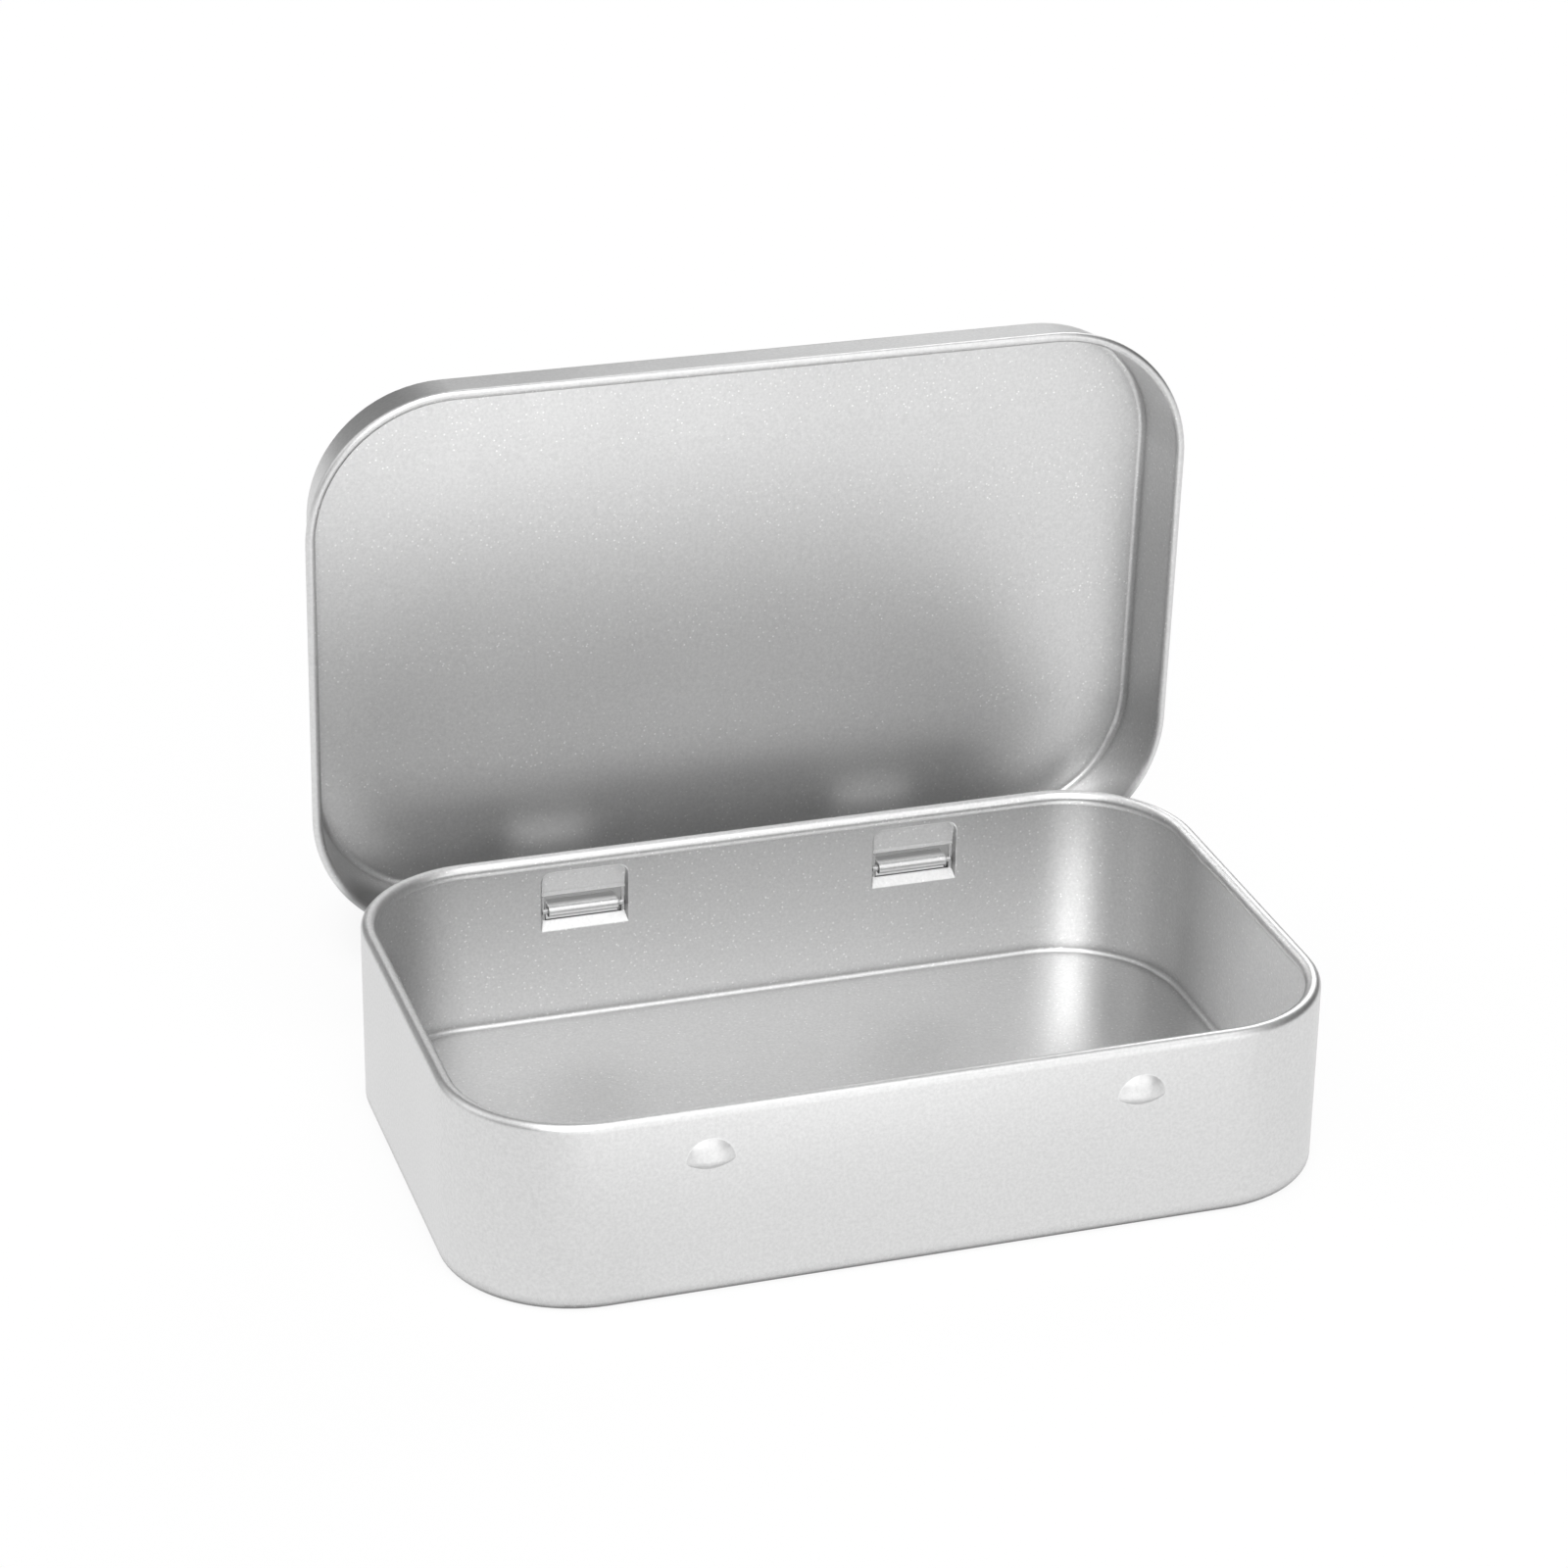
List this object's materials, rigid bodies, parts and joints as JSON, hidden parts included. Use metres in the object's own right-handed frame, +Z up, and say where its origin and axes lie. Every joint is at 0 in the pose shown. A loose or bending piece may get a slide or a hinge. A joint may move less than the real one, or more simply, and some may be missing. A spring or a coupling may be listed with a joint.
{
  "type": "hinged mint tin",
  "caption": "Pocket mint tin drawn from tinplate: a shallow box with a curled rim and a flared lid whose curled lugs turn on bars in the back wall and whose bead clicks over bumps in front.",
  "frame": {"origin": "middle of the flat underside of the base", "axes": "+X along the tin's length and parallel to the hinge, +Y towards the hinge side (the front faces -Y), +Z up"},
  "size_m": [0.095, 0.0672, 0.0734],
  "materials": {
    "tinplate": "satin"
  },
  "bodies": {
    "base": {"tin_base": "tinplate"},
    "lid": {"hinged_lid": "tinplate"}
  },
  "joints": [
    {"name": "lid_hinge", "type": "hinge", "parent": "base", "child": "lid", "pos_m": [0, 0.02971, 0.0127], "axis": [1, 0, 0], "range_deg": [0, 87.2]}
  ]
}
